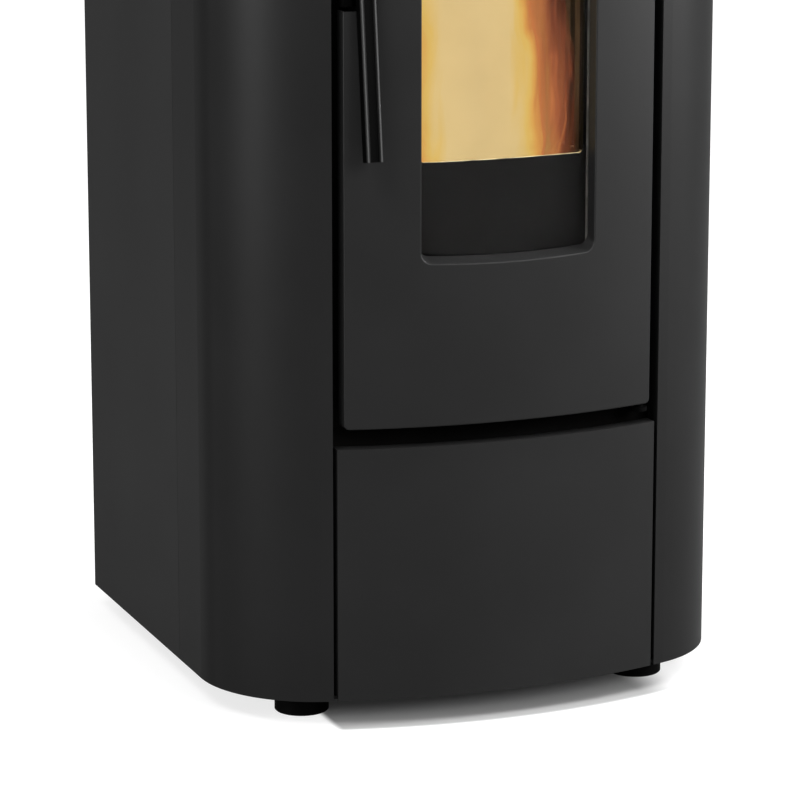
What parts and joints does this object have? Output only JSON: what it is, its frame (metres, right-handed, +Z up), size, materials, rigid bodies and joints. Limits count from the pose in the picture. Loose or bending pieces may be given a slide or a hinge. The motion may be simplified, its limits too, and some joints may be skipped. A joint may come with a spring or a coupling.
{
  "type": "pellet stove",
  "caption": "Free-standing pellet stove with a bowed front, glazed hinged door, leaning handle, pellet hopper with lid, feed auger, fire chamber and blowers.",
  "frame": {"origin": "middle of the whole stove's box, on the floor", "axes": "+Z up, -Y out of the door, +X to the right as the door is faced"},
  "size_m": [0.54, 0.5732, 1.0976],
  "materials": {
    "black_painted_steel": "fine matt textured black stove paint",
    "heat_painted_steel": "flat heat-resistant black paint",
    "galvanised_steel": "galvanised sheet, dull spangle",
    "cast_iron": "raw cast surface, blackened",
    "bare_steel": "bare steel",
    "cast_aluminium": "as cast",
    "ceramic_glass": "clear heat-resistant glass",
    "glass_fibre_rope": "knitted dark grey glass fibre",
    "foot_plastic": "moulded black nylon",
    "black_plastic": "moulded, fine grain",
    "screen_plastic": "polished dark window",
    "key_rubber": "soft grey rubber",
    "lead_sleeve": "woven black sleeve",
    "black_silicone": "soft black silicone",
    "motor_enamel": "grey enamel"
  },
  "bodies": {
    "casing": {"base_plate": "black_painted_steel", "chassis_frame": "galvanised_steel", "rear_panel": "black_painted_steel", "side_panel_left": "black_painted_steel", "side_panel_right": "black_painted_steel", "front_column_left": "black_painted_steel", "front_column_right": "black_painted_steel", "upper_front_panel": "black_painted_steel", "casing_screws": "bare_steel", "levelling_feet": "foot_plastic", "top_cover": "black_painted_steel", "lid_hinges": "bare_steel", "control_bezel": "black_plastic", "control_screen": "screen_plastic", "hinge_brackets": "heat_painted_steel", "latch_keeper": "bare_steel", "firebox_body": "heat_painted_steel", "fire_chamber_plates": "cast_iron", "burn_pot_holder": "cast_iron", "ash_pan": "heat_painted_steel", "heat_exchanger_tubes": "bare_steel", "igniter": "bare_steel", "pellet_hopper": "galvanised_steel", "hopper_guard": "bare_steel", "auger_tube": "bare_steel", "auger_gearmotor": "motor_enamel", "pellet_chute": "bare_steel", "smoke_duct": "galvanised_steel", "exhaust_housing": "cast_aluminium", "blower_motors": "motor_enamel", "flue_outlet": "heat_painted_steel", "combustion_air_inlet": "galvanised_steel", "room_fan_housing": "galvanised_steel", "warm_air_duct": "galvanised_steel", "control_box": "black_plastic", "wiring_loom": "lead_sleeve", "power_inlet": "black_plastic", "reset_thermostat": "black_plastic"},
    "door": {"door_panel": "black_painted_steel", "door_frame": "cast_iron", "door_glass": "ceramic_glass", "glass_gasket": "glass_fibre_rope", "door_rope_seal": "glass_fibre_rope", "panel_spacers": "bare_steel", "handle_bracket": "heat_painted_steel", "handle_pin": "bare_steel"},
    "handle": {"door_handle": "heat_painted_steel"},
    "lid": {"hopper_lid": "black_painted_steel", "lid_seal": "black_silicone"},
    "lower_panel": {"lower_front_panel": "black_painted_steel"},
    "pot": {"burn_pot": "cast_iron"},
    "auger": {"auger_screw": "bare_steel"},
    "exhaust_wheel": {"exhaust_impeller": "bare_steel"},
    "room_air_wheel": {"room_impeller": "galvanised_steel"},
    "rocker": {"power_switch": "black_plastic"},
    "reset": {"reset_button": "key_rubber"},
    "power_key": {"key_power": "key_rubber"},
    "menu_key": {"key_menu": "key_rubber"},
    "up_key": {"key_up": "key_rubber"},
    "down_key": {"key_down": "key_rubber"}
  },
  "joints": [
    {"name": "door_hinge", "type": "hinge", "parent": "casing", "child": "door", "pos_m": [0.153, -0.24343, 0.6], "axis": [0, 0, 1], "range_deg": [0, 100]},
    {"name": "handle_pivot", "type": "hinge", "parent": "door", "child": "handle", "pos_m": [-0.1426, -0.25743, 0.7648], "axis": [-1, 0, 0], "range_deg": [0, 25]},
    {"name": "lid_hinge", "type": "hinge", "parent": "casing", "child": "lid", "pos_m": [0, 0.22387, 1.0866], "axis": [-1, 0, 0], "range_deg": [0, 75]},
    {"name": "lower_panel_pull", "type": "slide", "parent": "casing", "child": "lower_panel", "axis": [0, -1, 0], "range_m": [0, 0.06]},
    {"name": "pot_lift", "type": "slide", "parent": "casing", "child": "pot", "axis": [0, 0, 1], "range_m": [0, 0.07]},
    {"name": "auger_spin", "type": "hinge", "parent": "casing", "child": "auger", "pos_m": [0, 0.15757, 0.505], "axis": [0, -0.6428, 0.766], "continuous": true},
    {"name": "exhaust_wheel_spin", "type": "hinge", "parent": "casing", "child": "exhaust_wheel", "pos_m": [0.14, 0.11557, 0.158], "axis": [1, 0, 0], "continuous": true},
    {"name": "room_air_wheel_spin", "type": "hinge", "parent": "casing", "child": "room_air_wheel", "pos_m": [0.093, 0.07957, 0.304], "axis": [1, 0, 0], "continuous": true},
    {"name": "rocker_tilt", "type": "hinge", "parent": "casing", "child": "rocker", "pos_m": [-0.165, 0.23457, 0.14], "axis": [-1, 0, 0], "range_deg": [0, 16]},
    {"name": "reset_push", "type": "slide", "parent": "casing", "child": "reset", "axis": [0, -1, 0], "range_m": [0, 0.003], "stiffness_N_per_m": 300, "springref_m": -0.001},
    {"name": "power_key_push", "type": "slide", "parent": "casing", "child": "power_key", "axis": [0, 0, -1], "range_m": [0, 0.0012], "stiffness_N_per_m": 300, "springref_m": -0.0005},
    {"name": "menu_key_push", "type": "slide", "parent": "casing", "child": "menu_key", "axis": [0, 0, -1], "range_m": [0, 0.0012], "stiffness_N_per_m": 300, "springref_m": -0.0005},
    {"name": "up_key_push", "type": "slide", "parent": "casing", "child": "up_key", "axis": [0, 0, -1], "range_m": [0, 0.0012], "stiffness_N_per_m": 300, "springref_m": -0.0005},
    {"name": "down_key_push", "type": "slide", "parent": "casing", "child": "down_key", "axis": [0, 0, -1], "range_m": [0, 0.0012], "stiffness_N_per_m": 300, "springref_m": -0.0005}
  ]
}
